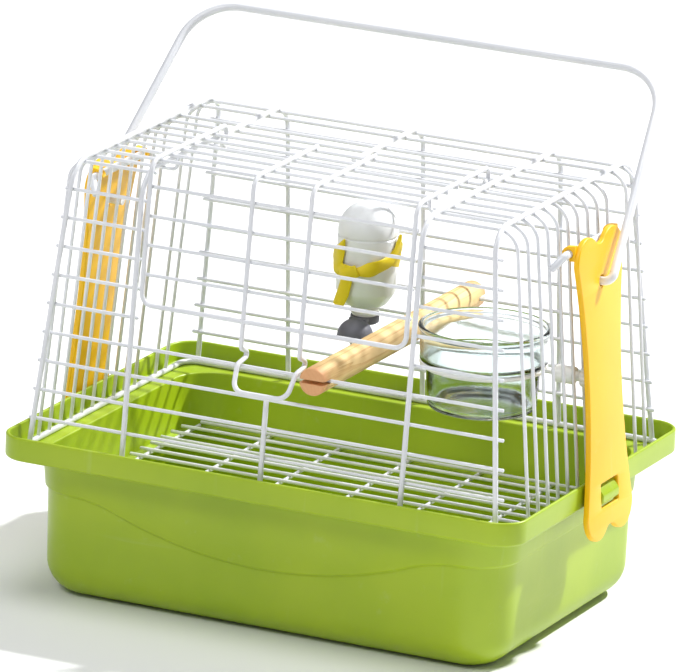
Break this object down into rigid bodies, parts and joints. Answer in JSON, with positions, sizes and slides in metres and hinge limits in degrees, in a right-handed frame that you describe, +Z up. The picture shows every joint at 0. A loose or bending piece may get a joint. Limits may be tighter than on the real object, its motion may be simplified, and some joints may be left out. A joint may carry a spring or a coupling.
{
  "type": "small wire travel cage",
  "caption": "Small portable wire cage on a deep flared plastic tub, with a lift-up front door, a carrying bail, side latches, perch, bowl and dispenser.",
  "frame": {"origin": "Middle of the whole object's footprint, on the surface that the tub stands on.", "axes": "+X along the length to the latch beside the bowl, +Z up, the door on the -Y side."},
  "size_m": [0.2408, 0.168, 0.2198],
  "materials": {
    "lime_plastic": "glossy moulded plastic, fine scuffs",
    "white_wire": "white coated steel wire",
    "yellow_plastic": "satin moulded plastic",
    "perch_wood": "plain turned beech",
    "clear_bowl": "clear moulded plastic",
    "white_plastic": "white moulded plastic",
    "pale_plastic": "pale milky plastic",
    "dark_plastic": "dark grey plastic"
  },
  "bodies": {
    "root": {"tub": "lime_plastic", "floor_bars": "white_wire", "floor_wires": "white_wire", "base_ring": "white_wire", "hoop_left_end": "white_wire", "hoop_left_door": "white_wire", "hoop_middle": "white_wire", "hoop_right_door": "white_wire", "hoop_right_end": "white_wire", "front_post": "white_wire", "front_wires_low": "white_wire", "front_wires_left": "white_wire", "front_wires_right": "white_wire", "back_wires": "white_wire", "roof_wires_back": "white_wire", "roof_wires_left": "white_wire", "roof_wires_right": "white_wire", "side_wires_left": "white_wire", "side_wires_right": "white_wire", "bracket_left": "white_wire", "bracket_right": "white_wire", "perch": "perch_wood", "bowl_holder": "white_plastic", "bowl_knob": "white_plastic", "water_reservoir": "pale_plastic", "water_collar": "yellow_plastic", "water_neck": "white_plastic", "water_hood": "dark_plastic"},
    "door": {"door_frame": "white_wire", "door_wires": "white_wire", "door_latch": "white_wire"},
    "bail": {"handle": "white_wire"},
    "latch_l": {"latch_left": "yellow_plastic"},
    "latch_r": {"latch_right": "yellow_plastic"},
    "bowl_body": {"bowl": "clear_bowl"}
  },
  "joints": [
    {"name": "door_swing", "type": "hinge", "parent": "root", "child": "door", "pos_m": [0, 0, 0.1798], "axis": [-1, 0, 0], "range_deg": [0, 95]},
    {"name": "handle_swing", "type": "hinge", "parent": "root", "child": "bail", "pos_m": [0, 0, 0.1485], "axis": [-1, 0, 0], "range_deg": [-122, 33]},
    {"name": "latch_right_swing", "type": "hinge", "parent": "root", "child": "latch_r", "pos_m": [0.10496, 0, 0.1635], "axis": [0, -1, 0], "range_deg": [0, 2.6]},
    {"name": "latch_left_swing", "type": "hinge", "parent": "root", "child": "latch_l", "pos_m": [-0.10496, 0, 0.1635], "axis": [0, 1, 0], "range_deg": [0, 2.6]},
    {"name": "bowl_lift", "type": "slide", "parent": "root", "child": "bowl_body", "axis": [0, 0, 1], "range_m": [0, 0.04]}
  ]
}
